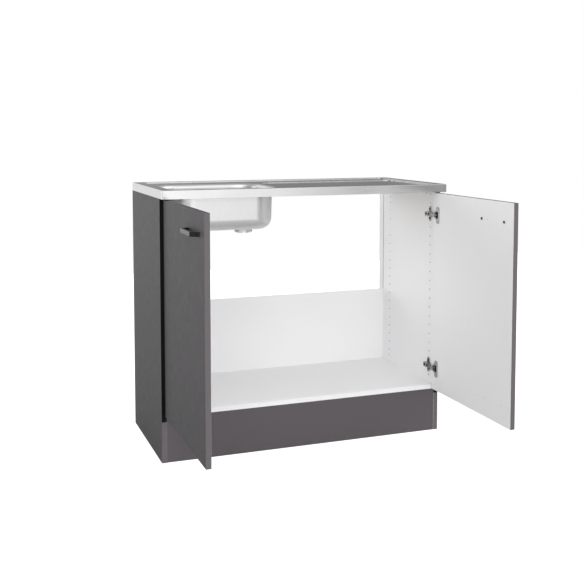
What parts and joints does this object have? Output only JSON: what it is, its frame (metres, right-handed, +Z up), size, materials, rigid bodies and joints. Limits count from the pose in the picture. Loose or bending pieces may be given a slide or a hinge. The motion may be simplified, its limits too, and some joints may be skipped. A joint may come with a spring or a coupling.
{
  "type": "kitchen sink base unit",
  "caption": "Floor-standing kitchen sink base unit with a lay-on stainless sink top, bowl and drainer, open upper back and hinged doors on concealed hinges.",
  "frame": {"origin": "on the floor, in the middle of the footprint that the open doors and the carcass cover together; the carcass front edge is at Y = +25 mm", "axes": "+X to the right seen from the room, +Y towards the wall, +Z up"},
  "size_m": [1.028, 0.95, 0.882],
  "materials": {
    "faced_board": "particle board, matt anthracite outside and white melamine inside",
    "grey_board": "particle board faced in matt anthracite melamine",
    "white_board": "particle board and hardboard faced in white melamine",
    "black_edging": "black edge band",
    "raw_timber": "raw timber and chipboard",
    "brushed_top": "stainless sheet with a fine linen grain",
    "satin_bowl": "satin stainless",
    "polished_waste": "polished stainless and chromed brass",
    "seal_rubber": "black rubber",
    "nickel_steel": "nickel-plated pressed steel",
    "dark_screw": "nickel-plated screws with dark cross recesses",
    "zinc": "zinc die-cast and plated steel",
    "black_metal": "matt black powder coat"
  },
  "bodies": {
    "root": {"back_panel": "white_board", "backnut": "polished_waste", "bottom_shelf": "white_board", "cam_bolts": "zinc", "cam_discs": "zinc", "drain_seal": "seal_rubber", "drainer_board": "raw_timber", "front_batten": "raw_timber", "left_arm_pins": "nickel_steel", "left_arm_screws": "dark_screw", "left_batten": "raw_timber", "left_edge_band": "black_edging", "left_plate_screws": "dark_screw", "left_side_panel": "faced_board", "lower_left_hinge_arm": "nickel_steel", "lower_left_hinge_plate": "nickel_steel", "lower_right_hinge_arm": "nickel_steel", "lower_right_hinge_plate": "nickel_steel", "plinth_dowels": "raw_timber", "plinth_panel": "grey_board", "rear_batten": "raw_timber", "rear_top_rail": "white_board", "right_arm_pins": "nickel_steel", "right_arm_screws": "dark_screw", "right_batten": "raw_timber", "right_edge_band": "black_edging", "right_plate_screws": "dark_screw", "right_side_panel": "faced_board", "sink_bowl": "satin_bowl", "sink_top": "brushed_top", "strainer": "polished_waste", "strainer_bolt": "polished_waste", "top_screws": "zinc", "upper_left_hinge_arm": "nickel_steel", "upper_left_hinge_plate": "nickel_steel", "upper_right_hinge_arm": "nickel_steel", "upper_right_hinge_plate": "nickel_steel", "waste_body": "polished_waste"},
    "left_outer_links_body": {"upper_left_outer_links": "nickel_steel", "lower_left_outer_links": "nickel_steel"},
    "left_inner_links_body": {"upper_left_inner_link": "nickel_steel", "lower_left_inner_link": "nickel_steel"},
    "left_door": {"left_door_panel": "faced_board", "left_handle": "black_metal", "left_handle_screws": "black_metal", "left_cup_pins": "nickel_steel", "left_cup_screws": "dark_screw", "upper_left_hinge_cup": "nickel_steel", "lower_left_hinge_cup": "nickel_steel"},
    "right_outer_links_body": {"upper_right_outer_links": "nickel_steel", "lower_right_outer_links": "nickel_steel"},
    "right_inner_links_body": {"upper_right_inner_link": "nickel_steel", "lower_right_inner_link": "nickel_steel"},
    "right_door": {"right_door_panel": "faced_board", "right_handle": "black_metal", "right_handle_screws": "black_metal", "right_cup_pins": "nickel_steel", "right_cup_screws": "dark_screw", "upper_right_hinge_cup": "nickel_steel", "lower_right_hinge_cup": "nickel_steel"}
  },
  "joints": [
    {"name": "left_outer_link_pivot", "type": "hinge", "parent": "root", "child": "left_outer_links_body", "pos_m": [-0.4685, 0.024, 0.501], "axis": [0, 0, 1], "range_deg": [-49.86, 2.78]},
    {"name": "left_inner_link_pivot", "type": "hinge", "parent": "root", "child": "left_inner_links_body", "pos_m": [-0.468, 0.032, 0.501], "axis": [0, 0, 1], "range_deg": [-32.41, 1.81]},
    {"name": "left_door_swing", "type": "hinge", "parent": "left_outer_links_body", "child": "left_door", "pos_m": [-0.47578, 0.00796, 0.501], "axis": [0, 0, 1], "range_deg": [-7.77, 139.85]},
    {"name": "right_outer_link_pivot", "type": "hinge", "parent": "root", "child": "right_outer_links_body", "pos_m": [0.4685, 0.024, 0.501], "axis": [0, 0, -1], "range_deg": [-49.86, 2.78]},
    {"name": "right_inner_link_pivot", "type": "hinge", "parent": "root", "child": "right_inner_links_body", "pos_m": [0.468, 0.032, 0.501], "axis": [0, 0, -1], "range_deg": [-32.41, 1.81]},
    {"name": "right_door_swing", "type": "hinge", "parent": "right_outer_links_body", "child": "right_door", "pos_m": [0.47578, 0.00796, 0.501], "axis": [0, 0, -1], "range_deg": [-7.77, 139.85]}
  ],
  "couplings": [
    {"joint": "left_outer_link_pivot", "follows": "left_door_swing", "ratio": -0.35645},
    {"joint": "left_inner_link_pivot", "follows": "left_door_swing", "ratio": -0.23168},
    {"joint": "right_outer_link_pivot", "follows": "right_door_swing", "ratio": -0.35645},
    {"joint": "right_inner_link_pivot", "follows": "right_door_swing", "ratio": -0.23168}
  ]
}
